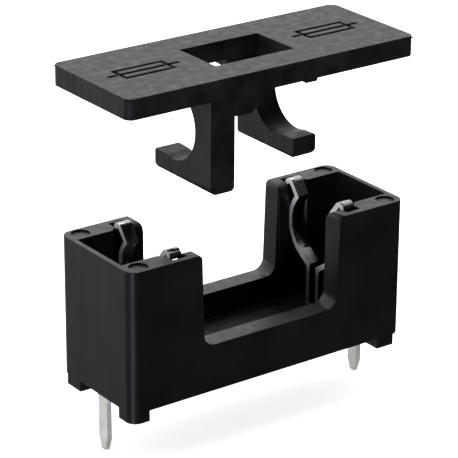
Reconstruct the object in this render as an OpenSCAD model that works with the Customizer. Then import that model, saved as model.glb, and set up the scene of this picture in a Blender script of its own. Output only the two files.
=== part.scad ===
// Cartridge fuse holder for a circuit board, 5.2 mm x 20 mm fuses, with a lift-off cover.
// Millimetres. Origin: centre of the board surface under the feet. X runs along the fuse.

/* [Fuse] */
// Diameter of the fuse caps
fuse_d = 5.2; // [4.8:0.1:6.4]
// Room between the fuse and the slot that it drops through, on each side
slot_gap = 0.15; // [0.1:0.05:0.5]

/* [Housing] */
// Overall length
body_l = 24; // [22:0.5:32]
// Overall width
body_w = 9; // [8.4:0.2:14]
// Height of the moulding above its underside
body_h = 10.65; // [10:0.25:16]
// Radius of the upright corners
corner_r = 0.8; // [0.4:0.1:1.2]
// Thickness of the thin wall at each end
end_wall = 0.4; // [0.3:0.05:0.6]
// Thickness of the outer wall beside each clip
side_wall = 0.5; // [0.4:0.05:0.7]
// Thickness of the floor
floor_t = 1.5; // [1:0.1:2]
// Thickness of each low wall between the towers
low_wall_t = 1.6; // [1:0.1:1.7]
// Width of the gap between the towers at the top
gap_w = 12.1; // [10:0.1:13]
// How far each side of the gap leans in from top to bottom
gap_draft = 0.22; // [0:0.02:0.3]
// Radius in the bottom corners of the gap
gap_r = 0.9; // [0.4:0.1:1.2]
// Thickness of the tower walls that face the gap
flange_t = 0.95; // [0.7:0.05:1.1]
// Radius on the inner top corners of those walls
flange_r = 0.9; // [0.4:0.1:1.2]
// Radius on the outer top corners of those walls
tower_r = 0.4; // [0.2:0.05:0.6]
// Chamfer on the upright inner corner of each post
post_chamfer = 0.5; // [0.2:0.1:0.8]

/* [Feet] */
// Height of the feet
foot_h = 0.8; // [0.5:0.1:1.5]
// Length of each foot along the housing
foot_l = 1.5; // [1:0.1:2]
// Width of each foot across the housing
foot_w = 1.7; // [1:0.1:2]
// How far the feet at the far end and the far side stand in from the edge
foot_inset = 0.7; // [0:0.1:1]

/* [Ejector marks] */
// Distance from the edge of a round mark to the edge of its corner post
mark_edge = 0.18; // [0.1:0.02:0.4]
// Depth of the round marks
mark_depth = 0.15; // [0.1:0.05:0.3]
// Distance from each end face to the middle of a mark
mark_in = 1.2; // [1.2:0.05:1.6]

/* [Clips] */
// Thickness of the spring strip
strip_t = 0.4; // [0.3:0.05:0.5]
// Width of each clip arm along the fuse
arm_w = 1; // [0.8:0.1:1.2]
// Room between each clip and the walls of its pocket
clip_gap = 0.1; // [0.05:0.05:0.2]
// How far below the level of the fuse axis the arms wrap, in degrees
wrap_low = 55; // [40:1:60]
// How far above the level of the fuse axis the arms wrap, in degrees
wrap_high = 43; // [35:1:50]
// Distance from the middle of the clip to each upright leg
leg_y = 0.55; // [0.4:0.05:0.7]
// Straight length of the lead-in above each neck
lead_in_l = 1.1; // [0.8:0.05:1.3]
// Lean of the lead-in from upright, in degrees
lead_in_lean = 38; // [25:1:45]
// Inner radius of the rolled lip
lip_r = 0.12; // [0.1:0.02:0.3]
// Width of the flat web on the floor
web_w = 3; // [2.4:0.1:3.6]
// Distance between the two solder pins
pin_pitch = 22.6; // [20:0.1:30]
// Width of each pin
pin_w = 1.1; // [0.8:0.1:1.4]
// Length of each pin below the board surface
pin_l = 3.8; // [3:0.1:5]
// Width of the shoulder above each pin
shoulder_w = 3.8; // [3:0.1:4.2]
// How far the shoulder stands out below the housing
shoulder_drop = 0.2; // [0.1:0.05:0.3]
// Radius where the shoulder narrows to the pin
shoulder_r = 0.6; // [0.3:0.05:0.6]
// Length of the tapered tip of each pin
pin_tip_l = 0.9; // [0.5:0.1:1.2]
// Width across the end of that tip
pin_tip_w = 0.45; // [0.3:0.05:0.7]

/* [Cover] */
// How far the cover plate stands out past the housing, on each side
lid_lip = 0.2; // [0:0.05:0.5]
// Thickness of the cover plate
lid_t = 1.5; // [1.2:0.1:2]
// Radius of the corners of the cover plate
lid_r = 0.6; // [0.2:0.1:1.2]
// Length of the window
window_l = 6.7; // [5:0.1:7.8]
// Width of the window
window_w = 4.3; // [3.5:0.1:5]
// Thickness of each hook along the fuse
hook_t = 2; // [1.4:0.05:2.2]
// Room between each hook and the tower beside it
hook_gap = 0.37; // [0.15:0.01:0.6]
// Room between the fuse and the round seat of a hook
seat_gap = 0.1; // [0.1:0.05:0.3]
// Room between the fuse and the underside of the plate
roof_gap = 0.15; // [0.1:0.05:0.4]
// Thickness of the hook under its seat
hook_floor = 1.35; // [0.9:0.05:1.6]
// Room between the hooks and the low walls when the cover is closed
hook_drop_gap = 0.25; // [0.2:0.05:0.6]
// How far the tip of each hook reaches past the middle of the fuse
tip_y = 2.15; // [1.5:0.05:2.6]
// How far the tip rises above the bottom of the seat
tip_rise = 0.22; // [0.1:0.02:0.4]
// Radius on the lower corner of the tip
tip_r = 0.5; // [0.2:0.05:0.6]
// Radius on the upper corner of the tip
tip_top_r = 0.25; // [0.1:0.05:0.4]
// Radius along the bottom edge of each hook that faces its tower
outer_r = 0.5; // [0.2:0.05:0.7]
// Radius along the bottom edge of each hook that faces the other hook
inner_r = 0.35; // [0.2:0.05:0.7]
// How far each hook stands in from the edge of the plate
leg_inset = 0.1; // [0:0.05:0.3]
// Length of the brace that joins each hook to the plate
brace_l = 2.3; // [1:0.1:3]
// Height of the brace
brace_h = 1.4; // [0.8:0.1:2]
// Room above each clip in the relief under the plate
lip_gap = 0.25; // [0.1:0.05:0.3]
// Depth of the engraved fuse symbols
engrave = 0.2; // [0.1:0.05:0.3]
// Length of the box in each symbol
sign_l = 4.2; // [3:0.1:5]
// Width of the box in each symbol
sign_w = 1.9; // [1.2:0.1:2.6]
// Width of the engraved lines
line_w = 0.3; // [0.2:0.05:0.5]
// Length of the small nub under the front edge
nub_l = 1; // [0.6:0.1:1.6]
// Height of the small nub
nub_h = 0.2; // [0.1:0.05:0.3]
// Distance from the middle of the cover to the nub
nub_x = 3; // [1:0.25:4]
// Height of the cover above its closed place, as drawn
lift = 11; // [0:0.5:20]

/* [Hidden] */
$fn = 48;
eps = 0.02;

// levels
floor_z = foot_h + floor_t;
top_z = foot_h + body_h;
fuse_z = top_z - roof_gap - fuse_d / 2;

// cover, from the underside of its plate
lid_l = body_l + 2 * lid_lip;
lid_w = body_w + 2 * lid_lip;
seat_r = fuse_d / 2 + seat_gap;
seat_z = -roof_gap - fuse_d / 2;
hook_bottom = seat_z - seat_r - hook_floor;
leg_front = lid_w / 2 - leg_inset;
tip_z = seat_z - seat_r + tip_rise;

// top of the low walls, just under the hooks of the closed cover
low_z = top_z + hook_bottom - hook_drop_gap;

// places along X
gap_half = gap_w / 2;
pocket_x0 = gap_half + flange_t;
pocket_x1 = pocket_x0 + arm_w + 2 * clip_gap;
arm_x = pocket_x0 + clip_gap;
pin_x = pin_pitch / 2;
cavity_x = body_l / 2 - end_wall;

// places along Y
slot_half = fuse_d / 2 + slot_gap;
pocket_half = body_w / 2 - side_wall;

// spring arm, on the middle of the strip
arm_r = fuse_d / 2 + strip_t / 2;
neck_y = arm_r * cos(wrap_high);
neck_z = fuse_z + arm_r * sin(wrap_high);
low_y = arm_r * cos(wrap_low);
wrap_z = fuse_z - arm_r * sin(wrap_low);
kink_z = wrap_z - (low_y - leg_y) / tan(wrap_low);
lip_mid_r = lip_r + strip_t / 2;
lip_y = neck_y + lead_in_l * sin(lead_in_lean) + lip_mid_r * cos(lead_in_lean);
lip_z = neck_z + lead_in_l * cos(lead_in_lean) - lip_mid_r * sin(lead_in_lean);
lip_top_z = lip_z + lip_mid_r + strip_t / 2;

// places of the hooks along X, and depth of the relief above the clips
hook_x1 = gap_half - gap_draft - hook_gap;
hook_x0 = hook_x1 - hook_t;
relief = lip_top_z - top_z + lip_gap;

// a rectangle with round corners, centred on the origin
module round_rect(l, w, r) {
    square([l - 2 * r, w], center = true);
    square([l, w - 2 * r], center = true);
    for (x = [-1, 1], y = [-1, 1])
        translate([x * (l / 2 - r), y * (w / 2 - r)]) circle(r);
}

// takes a drawing whose axes are (Y, Z) and makes it a slab from x0 to x0 + len
module along_x(x0, len) {
    translate([x0, 0, 0]) rotate([90, 0, 90]) linear_extrude(len) children();
}

// takes a drawing whose axes are (X, Z) and makes it a slab from y0 to y0 + len
module along_y(y0, len) {
    translate([0, y0 + len, 0]) rotate([90, 0, 0]) linear_extrude(len) children();
}

module both_ends() {
    children();
    mirror([1, 0, 0]) children();
}

module both_sides() {
    children();
    mirror([0, 1, 0]) children();
}

// a straight piece of strip between two points of a drawing, with round ends
module strip(p, q) {
    run = q - p;
    translate(p) rotate(atan2(run[1], run[0]))
        translate([0, -strip_t / 2]) square([norm(run), strip_t]);
    translate(p) circle(strip_t / 2);
    translate(q) circle(strip_t / 2);
}

// a bent piece of strip around a point, from angle a0 up to angle a1
module bend(centre, r, a0, a1) {
    far = 3 * r;
    mid = (a0 + a1) / 2;
    translate(centre) intersection() {
        difference() {
            circle(r + strip_t / 2);
            circle(r - strip_t / 2);
        }
        polygon([
            [0, 0],
            for (a = [a0, (a0 + mid) / 2, mid, (mid + a1) / 2, a1]) far * [cos(a), sin(a)]
        ]);
    }
}

// the fillet of radius r in a corner at the origin, between +X and +Y
module corner_fill(r) {
    difference() {
        translate([-eps, -eps]) square(r + eps);
        translate([r, r]) circle(r);
    }
}

// the gap between the towers, seen from the front, with round corners
module gap_shape() {
    bottom_half = gap_half - gap_draft;
    lean = atan(gap_draft / (top_z - low_z));
    round_x = gap_half - gap_draft * tower_r / (top_z - low_z);
    difference() {
        polygon([
            [-bottom_half, low_z], [bottom_half, low_z],
            [gap_half, top_z], [gap_half, top_z + 1],
            [-gap_half, top_z + 1], [-gap_half, top_z]
        ]);
        for (s = [0, 1])
            mirror([s, 0]) translate([bottom_half, low_z]) leaning_fill(gap_r, lean);
    }
    for (s = [0, 1])
        mirror([s, 0]) translate([round_x, top_z]) mirror([0, 1]) corner_fill(tower_r);
}

// the fillet of radius r in a corner at the origin, between -X and a wall that leans out from +Y
module leaning_fill(r, lean) {
    centre = [-r * (1 - sin(lean)) / cos(lean), r];
    outwards = [cos(lean), -sin(lean)];
    difference() {
        polygon([
            centre, [centre[0], -eps], [eps, -eps], centre + (r + eps) * outwards
        ]);
        translate(centre) circle(r);
    }
}

// the four feet, from below
module feet_shape() {
    near_x = -body_l / 2;
    far_x = body_l / 2 - foot_inset - foot_l;
    near_y = -body_w / 2;
    far_y = body_w / 2 - foot_inset - foot_w;
    intersection() {
        round_rect(body_l, body_w, corner_r);
        for (x = [near_x, far_x], y = [near_y, far_y])
            translate([x, y]) square([foot_l, foot_w]);
    }
}

module housing() {
    trough_half = body_w / 2 - low_wall_t;
    color([0.08, 0.08, 0.085]) difference() {
        union() {
            translate([0, 0, foot_h]) linear_extrude(body_h) round_rect(body_l, body_w, corner_r);
            linear_extrude(foot_h + eps) feet_shape();
        }
        along_y(-body_w / 2 - 1, body_w + 2) gap_shape();
        translate([-cavity_x, -slot_half, floor_z]) cube([2 * cavity_x, 2 * slot_half, body_h]);
        translate([-gap_half, -trough_half, floor_z]) cube([2 * gap_half, 2 * trough_half, body_h]);
        both_ends() clip_room();
    }
}

// what is cut from one end of the housing for its clip, with the marks on its posts
module clip_room() {
    post_y = (slot_half + body_w / 2) / 2;
    mark_d = body_w / 2 - slot_half - 2 * mark_edge;
    translate([pocket_x0, -pocket_half, floor_z])
        cube([pocket_x1 - pocket_x0, 2 * pocket_half, body_h]);
    translate([pin_x - strip_t / 2 - clip_gap, -shoulder_w / 2 - clip_gap, 0])
        cube([strip_t + 2 * clip_gap, shoulder_w + 2 * clip_gap, floor_z + 1]);
    both_sides() {
        translate([0, 0, floor_z]) linear_extrude(body_h)
            polygon([
                [pocket_x1 - eps, slot_half - eps], [pocket_x1 + post_chamfer, slot_half - eps],
                [pocket_x1 - eps, slot_half + post_chamfer]
            ]);
        along_x(gap_half - 1, flange_t + 1)
            translate([slot_half, top_z]) mirror([0, 1]) corner_fill(flange_r);
        translate([body_l / 2 - mark_in, post_y, top_z - mark_depth])
            cylinder(d = mark_d, h = mark_depth + 1);
    }
}

// one spring arm, seen along the fuse
module arm_shape() {
    lip_start = [neck_y, neck_z] + lead_in_l * [sin(lead_in_lean), cos(lead_in_lean)];
    strip([leg_y, floor_z + strip_t / 2], [leg_y, kink_z]);
    strip([leg_y, kink_z], [low_y, wrap_z]);
    bend([0, fuse_z], arm_r, -wrap_low, wrap_high);
    strip([neck_y, neck_z], lip_start);
    bend([lip_y, lip_z], lip_mid_r, -10, 180 - lead_in_lean);
}

// the solder pin with its shoulder, seen along the fuse
module pin_shape() {
    shoulder_z = foot_h - shoulder_drop;
    translate([-web_w / 2, shoulder_z]) square([web_w, floor_z + strip_t / 2 - shoulder_z]);
    translate([-shoulder_w / 2, shoulder_z]) square([shoulder_w, floor_t + shoulder_drop - clip_gap]);
    polygon([
        [-pin_w / 2, shoulder_z + eps], [-pin_w / 2, -pin_l + pin_tip_l],
        [-pin_tip_w / 2, -pin_l], [pin_tip_w / 2, -pin_l],
        [pin_w / 2, -pin_l + pin_tip_l], [pin_w / 2, shoulder_z + eps]
    ]);
    for (s = [0, 1])
        mirror([s, 0]) translate([pin_w / 2, shoulder_z]) mirror([0, 1]) corner_fill(shoulder_r);
}

// the clip at the right end: one strip with two arms, a web on the floor and a solder pin
module clip() {
    tab_half = leg_y + strip_t / 2;
    web_x = arm_x + arm_w + strip_t;
    bend_r = strip_t;
    color([0.78, 0.77, 0.74]) {
        both_sides() along_x(arm_x, arm_w) arm_shape();
        translate([arm_x, -tab_half, floor_z])
            cube([pin_x - bend_r / 2 - arm_x, 2 * tab_half, strip_t]);
        translate([web_x, -web_w / 2, floor_z])
            cube([pin_x - bend_r / 2 - web_x, web_w, strip_t]);
        along_y(-web_w / 2, web_w)
            bend([pin_x - bend_r / 2, floor_z + strip_t / 2 - bend_r / 2], bend_r / 2, 0, 90);
        along_x(pin_x - strip_t / 2, strip_t) pin_shape();
    }
}

module clip_right() {
    clip();
}

module clip_left() {
    mirror([1, 0, 0]) clip();
}

// the hook at the left end of the cover, seen along the fuse, below the plate
module hook_shape() {
    slope_start = [seat_r * sin(18), seat_z - seat_r * cos(18)];
    difference() {
        translate([-leg_front, hook_bottom]) square([leg_front + tip_y, eps - hook_bottom]);
        translate([0, seat_z]) circle(seat_r);
        polygon([
            [0, seat_z], slope_start, [tip_y + 1, tip_z], [tip_y + 1, 1], [0, 1]
        ]);
        translate([tip_y, hook_bottom]) mirror([1, 0]) corner_fill(tip_r);
        translate([tip_y, tip_z]) mirror([1, 0]) mirror([0, 1]) corner_fill(tip_top_r);
    }
}

// the same hook seen from the front, with round bottom edges
module hook_front() {
    difference() {
        translate([-hook_x1, hook_bottom]) square([hook_t, eps - hook_bottom]);
        translate([-hook_x1, hook_bottom]) corner_fill(outer_r);
        translate([-hook_x0, hook_bottom]) mirror([1, 0]) corner_fill(inner_r);
    }
}

// the brace beside that hook, seen from the front
module brace_shape() {
    polygon([
        [-hook_x0, eps], [-hook_x0 + brace_l, eps],
        [-hook_x0 + brace_l, -brace_h * 0.55], [-hook_x0 + brace_l * 0.58, -brace_h],
        [-hook_x0, -brace_h]
    ]);
}

// a fuse symbol: a box with a line through it
module fuse_sign() {
    difference() {
        square([sign_l, sign_w], center = true);
        square([sign_l - 2 * line_w, sign_w - 2 * line_w], center = true);
    }
    square([sign_l * 1.4, line_w], center = true);
}

module cover() {
    sign_x = (window_l / 2 + lid_l / 2) / 2;
    brace_back = seat_r + leg_inset;
    color([0.1, 0.1, 0.105]) translate([0, 0, top_z + lift]) {
        difference() {
            linear_extrude(lid_t) round_rect(lid_l, lid_w, lid_r);
            translate([-window_l / 2, -window_w / 2, -1]) cube([window_l, window_w, lid_t + 2]);
            for (s = [0, 1])
                mirror([s, 0, 0]) {
                    translate([pocket_x0 - clip_gap, -pocket_half, -1])
                        cube([pocket_x1 - pocket_x0 + 2 * clip_gap, 2 * pocket_half, relief + 1]);
                    translate([sign_x, 0, lid_t - engrave]) linear_extrude(1) fuse_sign();
                }
        }
        for (turn = [0, 180])
            rotate(turn) {
                intersection() {
                    along_x(-hook_x1, hook_t) hook_shape();
                    along_y(-lid_w / 2, lid_w) hook_front();
                }
                along_y(-lid_w / 2, lid_w / 2 - brace_back) brace_shape();
            }
        translate([nub_x - nub_l / 2, -lid_w / 2, -nub_h])
            cube([nub_l, 2 * nub_h, nub_h + eps]);
    }
}

housing();
clip_left();
clip_right();
cover();
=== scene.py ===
import math

import bmesh
import bpy
from mathutils import Matrix, Vector


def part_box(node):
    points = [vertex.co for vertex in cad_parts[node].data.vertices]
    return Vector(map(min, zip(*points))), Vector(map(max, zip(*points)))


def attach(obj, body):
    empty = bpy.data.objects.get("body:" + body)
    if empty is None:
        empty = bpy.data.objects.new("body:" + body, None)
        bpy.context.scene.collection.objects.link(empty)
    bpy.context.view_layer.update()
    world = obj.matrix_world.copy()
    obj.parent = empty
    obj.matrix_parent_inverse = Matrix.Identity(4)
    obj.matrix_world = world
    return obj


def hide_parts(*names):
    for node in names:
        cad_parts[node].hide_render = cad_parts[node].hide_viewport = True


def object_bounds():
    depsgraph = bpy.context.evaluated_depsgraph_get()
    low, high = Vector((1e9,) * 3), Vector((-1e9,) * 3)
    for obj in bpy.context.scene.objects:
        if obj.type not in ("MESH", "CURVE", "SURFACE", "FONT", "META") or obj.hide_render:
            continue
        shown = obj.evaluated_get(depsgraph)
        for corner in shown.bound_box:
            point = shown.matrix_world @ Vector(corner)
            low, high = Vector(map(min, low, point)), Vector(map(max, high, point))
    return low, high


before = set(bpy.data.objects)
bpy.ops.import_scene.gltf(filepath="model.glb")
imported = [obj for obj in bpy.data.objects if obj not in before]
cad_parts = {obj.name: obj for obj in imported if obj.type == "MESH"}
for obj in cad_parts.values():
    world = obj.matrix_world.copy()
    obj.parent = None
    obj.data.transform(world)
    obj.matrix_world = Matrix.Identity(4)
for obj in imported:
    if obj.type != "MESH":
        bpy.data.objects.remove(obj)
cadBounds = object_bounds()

mm = 0.001
scene = bpy.context.scene
print("frame loaded:", sorted(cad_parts))


cameraValues = {
    "azimuth": -36.1,     # degrees from straight in front, towards the left end
    "elevation": 22.4,
    "roll": 0.4,
    "distance": 0.174,
    "aimHeight": 0.0097,  # height of the aim above the board surface
    "aimAside": -0.00045,
    "lens": 187,
    "turnCentre": 0.0008,  # height that the aim is measured from
}


def makeCamera(values):
    az, el = math.radians(values["azimuth"]), math.radians(values["elevation"])
    back = Vector((math.sin(az) * math.cos(el), -math.cos(az) * math.cos(el), math.sin(el)))
    right = Vector((-back.y, back.x, 0)).normalized()
    up = back.cross(right)
    data = bpy.data.cameras.new("camera")
    data.lens = values["lens"]
    data.sensor_width = 36
    data.clip_start = 0.01
    data.clip_end = 20
    cam = bpy.data.objects.new("camera", data)
    scene.collection.objects.link(cam)
    turn = Matrix((right, up, back)).transposed()
    spin = Matrix.Rotation(math.radians(values["roll"]), 3, back)
    centre = values["turnCentre"]
    aim = Vector((0, 0, centre)) + up * (values["aimHeight"] - centre) + right * values["aimAside"]
    cam.matrix_world = Matrix.Translation(aim + back * values["distance"]) @ (spin @ turn).to_4x4()
    scene.camera = cam


stageValues = {
    "floorSize": 1.2,
    "floorGap": 0.02 * mm,           # the floor lies this far below the pins
    "floorColour": (0.8, 0.8, 0.79, 1),
    "floorGlow": 0.72,
    "roomBright": 1.7,               # the room behind the object and above it
    "roomDark": 0.03,                # the room in front of it
    "brightSide": (-0.05, 0.68, 0.73),  # the way from the object to the bright side
    "fade": (0.02, 0.75),            # where the room turns from dark to bright
}


def makeStage(values):
    low = cadBounds[0][2]
    bm = bmesh.new()
    bmesh.ops.create_grid(bm, x_segments=4, y_segments=4, size=values["floorSize"] / 2)
    bmesh.ops.translate(bm, verts=bm.verts, vec=(0, 0, low - values["floorGap"]))
    mesh = bpy.data.meshes.new("floor")
    bm.to_mesh(mesh)
    bm.free()
    floor = bpy.data.objects.new("floor", mesh)
    scene.collection.objects.link(floor)
    paint = bpy.data.materials.new("paleFloor")
    paint.use_nodes = True
    shader = paint.node_tree.nodes["Principled BSDF"]
    shader.inputs["Base Color"].default_value = values["floorColour"]
    shader.inputs["Roughness"].default_value = 0.9
    shader.inputs["Specular IOR Level"].default_value = 0.1
    shader.inputs["Emission Color"].default_value = (1, 1, 1, 1)
    shader.inputs["Emission Strength"].default_value = values["floorGlow"]
    mesh.materials.append(paint)
    floor.visible_glossy = False
    floor.visible_shadow = False

    world = bpy.data.worlds.new("studio")
    scene.world = world
    world.use_nodes = True
    nodes, links = world.node_tree.nodes, world.node_tree.links
    way = nodes.new("ShaderNodeTexCoord")
    side = nodes.new("ShaderNodeVectorMath")
    side.operation = "DOT_PRODUCT"
    side.inputs[1].default_value = values["brightSide"]
    links.new(way.outputs["Generated"], side.inputs[0])
    room = nodes.new("ShaderNodeMapRange")
    room.interpolation_type = "SMOOTHSTEP"
    room.inputs["From Min"].default_value = values["fade"][0]
    room.inputs["From Max"].default_value = values["fade"][1]
    room.inputs["To Min"].default_value = values["roomDark"]
    room.inputs["To Max"].default_value = values["roomBright"]
    links.new(side.outputs["Value"], room.inputs["Value"])
    links.new(room.outputs["Result"], nodes["Background"].inputs["Strength"])
    nodes["Background"].inputs["Color"].default_value = (1, 1, 1, 1)

    scene.view_settings.view_transform = "Standard"


lightValues = {
    # name: (position, size, watts, colour)
    "overhead": ((0.05, 0.12, 0.42), 0.30, 1.2, (1, 0.99, 0.97)),
    "leftWindow": ((-0.31, -0.23, -0.15), 0.10, 0.5, (0.72, 0.83, 1)),
}


def makeLights(values):
    for name, (place, size, power, colour) in values.items():
        data = bpy.data.lights.new(name, "AREA")
        data.size = size
        data.energy = power
        data.color = colour
        lamp = bpy.data.objects.new(name, data)
        lamp.location = place
        lamp.rotation_euler = (Vector(place) - Vector((0, 0, 0.01))).to_track_quat("Z", "Y").to_euler()
        scene.collection.objects.link(lamp)


makeCamera(cameraValues)
makeStage(stageValues)
makeLights(lightValues)
print("stage ready")


def newMaterial(name):
    paint = bpy.data.materials.new(name)
    paint.use_nodes = True
    return paint, paint.node_tree.nodes, paint.node_tree.links, paint.node_tree.nodes["Principled BSDF"]


def addNoise(nodes, links, source, scale, detail=2.0, stretch=(1, 1, 1), rough=0.5):
    mapping = nodes.new("ShaderNodeMapping")
    mapping.inputs["Scale"].default_value = stretch
    links.new(source, mapping.inputs["Vector"])
    noise = nodes.new("ShaderNodeTexNoise")
    noise.inputs["Scale"].default_value = scale
    noise.inputs["Detail"].default_value = detail
    noise.inputs["Roughness"].default_value = rough
    links.new(mapping.outputs["Vector"], noise.inputs["Vector"])
    return noise.outputs["Fac"]


def addRange(nodes, links, value, low, high, outLow, outHigh):
    mapRange = nodes.new("ShaderNodeMapRange")
    mapRange.inputs["From Min"].default_value = low
    mapRange.inputs["From Max"].default_value = high
    mapRange.inputs["To Min"].default_value = outLow
    mapRange.inputs["To Max"].default_value = outHigh
    links.new(value, mapRange.inputs["Value"])
    return mapRange.outputs["Result"]


def addBump(nodes, links, height, distance, strength, before=None):
    bump = nodes.new("ShaderNodeBump")
    bump.inputs["Distance"].default_value = distance
    bump.inputs["Strength"].default_value = strength
    links.new(height, bump.inputs["Height"])
    if before is not None:
        links.new(before, bump.inputs["Normal"])
    return bump.outputs["Normal"]


def addColours(nodes, links, value, dark, light):
    ramp = nodes.new("ShaderNodeValToRGB")
    ramp.color_ramp.elements[0].position = 0.35
    ramp.color_ramp.elements[0].color = dark
    ramp.color_ramp.elements[1].position = 0.7
    ramp.color_ramp.elements[1].color = light
    links.new(value, ramp.inputs["Fac"])
    return ramp.outputs["Color"]


plasticValues = {
    "dark": (0.003, 0.003, 0.0034, 1),
    "light": (0.0065, 0.0065, 0.007, 1),
    "specular": 0.30,
    "roughLow": 0.34,
    "roughHigh": 0.50,
    "grain": 0.006 * mm,   # depth of the fine grain left by the mould
    "flow": 0.012 * mm,    # depth of the long waves down the walls
    "cloud": 260,          # how close together the lighter patches are
}

coverPlasticValues = dict(plasticValues, grain=0.02 * mm, roughLow=0.42, roughHigh=0.6,
                          light=(0.009, 0.009, 0.0095, 1), cloud=700)


def makePlastic(name, values):
    paint, nodes, links, shader = newMaterial(name)
    here = nodes.new("ShaderNodeTexCoord").outputs["Object"]
    cloud = addNoise(nodes, links, here, values["cloud"], 4)
    fine = addNoise(nodes, links, here, 9000, 3)
    streak = addNoise(nodes, links, here, 1400, 2, (1, 1, 0.06))
    links.new(addColours(nodes, links, cloud, values["dark"], values["light"]), shader.inputs["Base Color"])
    links.new(addRange(nodes, links, streak, 0.3, 0.7, values["roughLow"], values["roughHigh"]),
              shader.inputs["Roughness"])
    waves = addBump(nodes, links, streak, values["flow"], 0.35)
    links.new(addBump(nodes, links, fine, values["grain"], 0.5, waves), shader.inputs["Normal"])
    shader.inputs["Specular IOR Level"].default_value = values["specular"]
    return paint


tinValues = {
    "metallic": 1,
    "paintedShadeFrom": (5.5 * mm, 8.5 * mm),   # painted shade: the colour darkens below these heights, lower down in the pocket
    "paintedShadeLevel": 0.22,
    "dark": (0.22, 0.215, 0.21, 1),
    "light": (0.38, 0.37, 0.36, 1),
    "roughLow": 0.10,
    "roughHigh": 0.24,
    "rolled": 0.002 * mm,   # depth of the rolling lines along the strip
}

# sheared edges: the nearly white colour and part-metal look are a painted highlight standing in for a
# bright line of light; their rough, matte surface is real
shearHighlightValues = {
    "metallic": 0.4,
    "paintedShadeFrom": (5.2 * mm, 7.4 * mm),
    "paintedShadeLevel": 0.08,
    "dark": (0.86, 0.85, 0.82, 1),
    "light": (0.98, 0.97, 0.95, 1),
    "roughLow": 0.30,
    "roughHigh": 0.46,
    "rolled": 0.004 * mm,
}

pinValues = {
    "metallic": 0.5,
    # painted shade: the pin colour darkens below these heights
    "paintedShadeFrom": (-4.5 * mm, -4.0 * mm),
    "paintedShadeLevel": 0.8,
    "dark": (0.62, 0.60, 0.56, 1),
    "light": (0.82, 0.80, 0.76, 1),
    "roughLow": 0.30,
    "roughHigh": 0.46,
    "rolled": 0.004 * mm,
}


def makeTin(name, values):
    paint, nodes, links, shader = newMaterial(name)
    here = nodes.new("ShaderNodeTexCoord").outputs["Object"]
    cloud = addNoise(nodes, links, here, 900, 4)
    lines = addNoise(nodes, links, here, 9000, 2, (1, 1, 0.05))
    spots = addNoise(nodes, links, here, 3600, 3)
    height = nodes.new("ShaderNodeSeparateXYZ")
    links.new(here, height.inputs["Vector"])
    # painted shade: the colour is darkened towards the bottom, below the heights given in the values
    low, high = values["paintedShadeFrom"]
    unshaded = addRange(nodes, links, height.outputs["Z"], low, high, values["paintedShadeLevel"], 1)
    paintedShade = nodes.new("ShaderNodeVectorMath")
    paintedShade.operation = "SCALE"
    links.new(addColours(nodes, links, cloud, values["dark"], values["light"]), paintedShade.inputs[0])
    links.new(unshaded, paintedShade.inputs["Scale"])
    links.new(paintedShade.outputs["Vector"], shader.inputs["Base Color"])
    links.new(addRange(nodes, links, spots, 0.3, 0.7, values["roughLow"], values["roughHigh"]),
              shader.inputs["Roughness"])
    links.new(addBump(nodes, links, lines, values["rolled"], 0.5), shader.inputs["Normal"])
    shader.inputs["Metallic"].default_value = values["metallic"]
    return paint


housingPlastic = makePlastic("housingPlastic", plasticValues)
coverPlastic = makePlastic("coverPlastic", coverPlasticValues)
tinnedStrip = makeTin("tinnedStrip", tinValues)
shearedEdgeHighlight = makeTin("shearedEdgeHighlight", shearHighlightValues)
pinTin = makeTin("pinTin", pinValues)
print("materials ready")


def meshFromNode(nodeName, mergeWithin):
    bm = bmesh.new()
    bm.from_mesh(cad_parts[nodeName].data)
    bmesh.ops.remove_doubles(bm, verts=bm.verts, dist=mergeWithin)
    bmesh.ops.dissolve_degenerate(bm, edges=bm.edges, dist=mergeWithin)
    bmesh.ops.dissolve_limit(bm, angle_limit=math.radians(1), verts=bm.verts, edges=bm.edges)
    return bm


def hasRoom(edge, room):  # the faces on both sides are wide enough for the rounding
    return min(f.calc_area() for f in edge.link_faces) > room * edge.calc_length()


edgeValues = {
    "sharpFrom": 30,      # degrees between faces at an edge that is rounded
    "smoothUpTo": 40,     # degrees between faces that are shaded as one
    "segments": 2,
    "weld": 0.005,        # points closer than this share of the radius become one
}


def roundEdges(bm, width, room):
    least = math.radians(edgeValues["sharpFrom"])
    sharp = [e for e in bm.edges if e.is_manifold and e.calc_face_angle() > least]
    bmesh.ops.bevel(bm, geom=[e for e in sharp if hasRoom(e, room * width)], offset=width,
                    offset_type="OFFSET", segments=edgeValues["segments"], profile=0.5, affect="EDGES",
                    clamp_overlap=False, material=-1)
    weld = width * edgeValues["weld"]
    bmesh.ops.remove_doubles(bm, verts=bm.verts, dist=weld)
    bmesh.ops.dissolve_degenerate(bm, edges=bm.edges, dist=weld)


samePlace = 0.00001 * mm


def steadyMesh(bm, name):  # the bevel leaves its points and faces in an order that changes between runs
    place = {v: tuple(round(c / samePlace) for c in v.co) for v in bm.verts}
    points = sorted(bm.verts, key=place.get)
    number = {v: i for i, v in enumerate(points)}
    rows = []
    for face in bm.faces:
        ring = [number[v] for v in face.verts]
        first = ring.index(min(ring))
        rows.append((ring[first:] + ring[:first], face.material_index))
    rows.sort()
    mesh = bpy.data.meshes.new(name)
    mesh.from_pydata([v.co for v in points], [], [ring for ring, slot in rows])
    mesh.polygons.foreach_set("material_index", [slot for ring, slot in rows])
    mesh.update()
    return mesh


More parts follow.
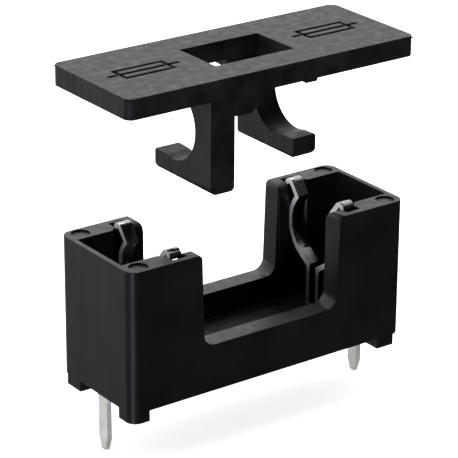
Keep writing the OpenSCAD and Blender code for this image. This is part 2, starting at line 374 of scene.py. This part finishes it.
def makePiece(bm, name, body, paint, *nodes):
    mesh = steadyMesh(bm, name)
    bm.free()
    mesh.shade_smooth()
    mesh.set_sharp_from_angle(angle=math.radians(edgeValues["smoothUpTo"]))
    mesh.materials.append(paint)
    piece = bpy.data.objects.new(name, mesh)
    scene.collection.objects.link(piece)
    normals = piece.modifiers.new("flatFaces", "WEIGHTED_NORMAL")
    normals.keep_sharp = True
    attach(piece, body)
    if nodes:
        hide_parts(*nodes)
    return piece


housingValues = {
    "edge": 0.05 * mm,    # radius of the moulded edges
    "merge": 0.01 * mm,
    "room": 3,            # an edge is rounded where its faces are this many radii wide
    "restGap": 0.01 * mm,   # the tops stand this far below the closed cover
}


def makeHousing(values):
    bm = meshFromNode("housing", values["merge"])
    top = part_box("housing")[1].z - values["merge"]
    bmesh.ops.translate(bm, verts=[v for v in bm.verts if v.co.z > top], vec=(0, 0, -values["restGap"]))
    roundEdges(bm, values["edge"], values["room"])
    piece = makePiece(bm, "housingShell", "base", housingPlastic, "housing")


makeHousing(housingValues)
print("housing ready")


clipValues = {
    "edge": 0.03 * mm,    # radius of the sheared edges
    "merge": 0.002 * mm,
    "room": 2.1,
    "shearFrom": 2.8 * mm,
    "pinBelow": 1.0 * mm,
}


def makeClip(values, side):
    bm = meshFromNode("clip_" + side, values["merge"])
    for face in bm.faces:    # dipped pins below the board, sheared edges on the arms with a painted highlight
        z = face.calc_center_median().z
        sheared = abs(face.normal.x) > 0.9 and z > values["shearFrom"]
        face.material_index = 2 if z < values["pinBelow"] else int(sheared)
    roundEdges(bm, values["edge"], values["room"])
    piece = makePiece(bm, "springClip_" + side, "base", tinnedStrip, "clip_" + side)
    piece.data.materials.append(shearedEdgeHighlight)
    piece.data.materials.append(pinTin)


makeClip(clipValues, "left")
makeClip(clipValues, "right")
print("clips ready")


coverValues = {
    "edge": 0.04 * mm,    # radius of the moulded edges
    "merge": 0.001 * mm,
    "room": 2.1,
    "plate": 1.5 * mm,
    "cornerCut": 0.36 * mm,   # how far the round corner stands back from a square one
    "flashSize": 0.16 * mm,
    # corners of the plate that keep a little flash: (side along X, side along Y, share of the height)
    "flashCorners": ((-1, 1, 0.88), (1, -1, 0.88), (-1, -1, 0.12)),
}


def addFlash(bm, values):
    low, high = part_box("cover")
    plateLow = high[2] - values["plate"]
    for sideX, sideY, share in values["flashCorners"]:
        corner = Vector((high[0] * sideX, high[1] * sideY, plateLow + share * values["plate"]))
        way = Vector((sideX, sideY, 0)).normalized()
        turn = way.to_track_quat("Z", "Y").to_matrix().to_4x4()
        place = Matrix.Translation(corner - way * values["cornerCut"]) @ turn
        size = values["flashSize"]
        bmesh.ops.create_cone(bm, cap_ends=True, segments=10, radius1=size, radius2=size * 0.15,
                              depth=size * 3, matrix=place)


def makeCover(values):
    bm = meshFromNode("cover", values["merge"])
    roundEdges(bm, values["edge"], values["room"])
    addFlash(bm, values)
    piece = makePiece(bm, "coverShell", "cover", coverPlastic, "cover")


makeCover(coverValues)
print("cover ready")
